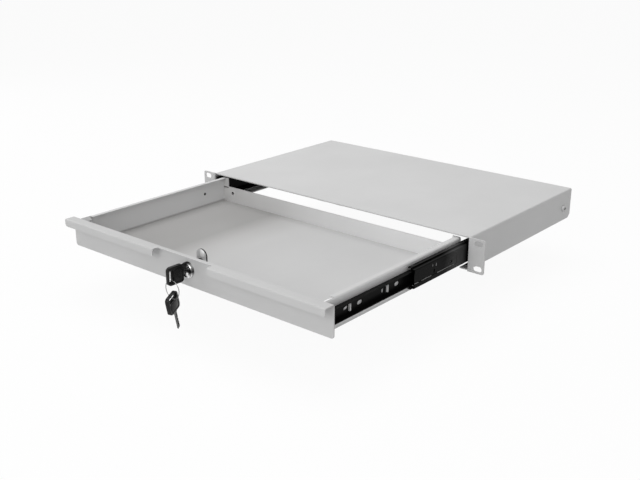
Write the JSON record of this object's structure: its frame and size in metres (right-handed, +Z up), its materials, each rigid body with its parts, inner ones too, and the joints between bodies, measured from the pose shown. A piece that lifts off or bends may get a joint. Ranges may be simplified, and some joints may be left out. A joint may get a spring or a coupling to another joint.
{
  "type": "sliding rack drawer",
  "caption": "Shallow lockable drawer on ball-bearing slides in an open-bottomed sheet-metal chassis with slotted rack ears, pulled out.",
  "frame": {"origin": "centre of the four ear slots, on the rear face of the ears", "axes": "+X to the right seen from the front, +Y back into the rack, +Z up"},
  "size_m": [0.4826, 0.5593, 0.091],
  "materials": {
    "chassis_grey": "fine satin powder coat",
    "tray_grey": "fine satin powder coat",
    "front_grey": "fine satin powder coat",
    "zinc_steel": "zinc plated",
    "black_slide": "black electro-coat, semi-gloss",
    "cage_steel": "plain rolled strip",
    "ball_steel": "polished",
    "screw_steel": "dark plated",
    "lock_chrome": "bright chrome",
    "nut_steel": "zinc plated",
    "key_steel": "nickel plated",
    "key_black": "moulded black plastic"
  },
  "bodies": {
    "chassis": {"chassis": "chassis_grey", "lock_strike_right": "zinc_steel", "lock_strike_left": "zinc_steel", "slide_outer_right": "black_slide", "slide_outer_left": "black_slide", "chassis_screw_right": "screw_steel", "chassis_screw_left": "screw_steel"},
    "drawer": {"drawer_tray": "tray_grey", "tray_rear_wall": "tray_grey", "tray_corner_right": "tray_grey", "tray_corner_left": "tray_grey", "drawer_front": "front_grey", "slide_inner_right": "black_slide", "slide_inner_left": "black_slide", "tray_screw_right": "screw_steel", "tray_screw_left": "screw_steel", "lock_barrel": "lock_chrome", "lock_washer": "nut_steel", "lock_nut": "nut_steel"},
    "lock_cylinder": {"lock_plug": "lock_chrome", "lock_cam": "zinc_steel", "cam_screw": "nut_steel", "key_blade": "key_steel", "key_head": "key_black"},
    "ring": {"key_ring": "key_steel"},
    "spare_key": {"spare_key_head": "key_black", "spare_key_blade": "key_steel"},
    "mid_member_right": {"slide_mid_right": "black_slide"},
    "inner_bearing_right": {"inner_cage_right": "cage_steel", "inner_balls_right": "ball_steel"},
    "outer_bearing_right": {"outer_cage_right": "cage_steel", "outer_balls_right": "ball_steel"},
    "mid_member_left": {"slide_mid_left": "black_slide"},
    "inner_bearing_left": {"inner_cage_left": "cage_steel", "inner_balls_left": "ball_steel"},
    "outer_bearing_left": {"outer_cage_left": "cage_steel", "outer_balls_left": "ball_steel"}
  },
  "joints": [
    {"name": "drawer_slide", "type": "slide", "parent": "chassis", "child": "drawer", "axis": [0, -1, 0], "range_m": [-0.25, 0]},
    {"name": "mid_slide_right", "type": "slide", "parent": "chassis", "child": "mid_member_right", "axis": [0, -1, 0], "range_m": [-0.125, 0]},
    {"name": "inner_bearing_slide_right", "type": "slide", "parent": "chassis", "child": "inner_bearing_right", "axis": [0, -1, 0], "range_m": [-0.1875, 0]},
    {"name": "outer_bearing_slide_right", "type": "slide", "parent": "chassis", "child": "outer_bearing_right", "axis": [0, -1, 0], "range_m": [-0.0625, 0]},
    {"name": "mid_slide_left", "type": "slide", "parent": "chassis", "child": "mid_member_left", "axis": [0, -1, 0], "range_m": [-0.125, 0]},
    {"name": "inner_bearing_slide_left", "type": "slide", "parent": "chassis", "child": "inner_bearing_left", "axis": [0, -1, 0], "range_m": [-0.1875, 0]},
    {"name": "outer_bearing_slide_left", "type": "slide", "parent": "chassis", "child": "outer_bearing_left", "axis": [0, -1, 0], "range_m": [-0.0625, 0]},
    {"name": "lock_turn", "type": "hinge", "parent": "drawer", "child": "lock_cylinder", "pos_m": [0, -0.245, 0], "axis": [0, 1, 0], "range_deg": [0, 45]},
    {"name": "ring_swing", "type": "hinge", "parent": "lock_cylinder", "child": "ring", "pos_m": [0, -0.2798, -0.0045], "axis": [1, 0, 0], "range_deg": [-30, 5]},
    {"name": "spare_key_swing", "type": "hinge", "parent": "ring", "child": "spare_key", "pos_m": [0, -0.2798, -0.02619], "axis": [1, 0, 0], "range_deg": [-30, 5]}
  ],
  "couplings": [
    {"joint": "mid_slide_right", "follows": "drawer_slide", "ratio": 0.5},
    {"joint": "inner_bearing_slide_right", "follows": "drawer_slide", "ratio": 0.75},
    {"joint": "outer_bearing_slide_right", "follows": "drawer_slide", "ratio": 0.25},
    {"joint": "mid_slide_left", "follows": "drawer_slide", "ratio": 0.5},
    {"joint": "inner_bearing_slide_left", "follows": "drawer_slide", "ratio": 0.75},
    {"joint": "outer_bearing_slide_left", "follows": "drawer_slide", "ratio": 0.25}
  ]
}
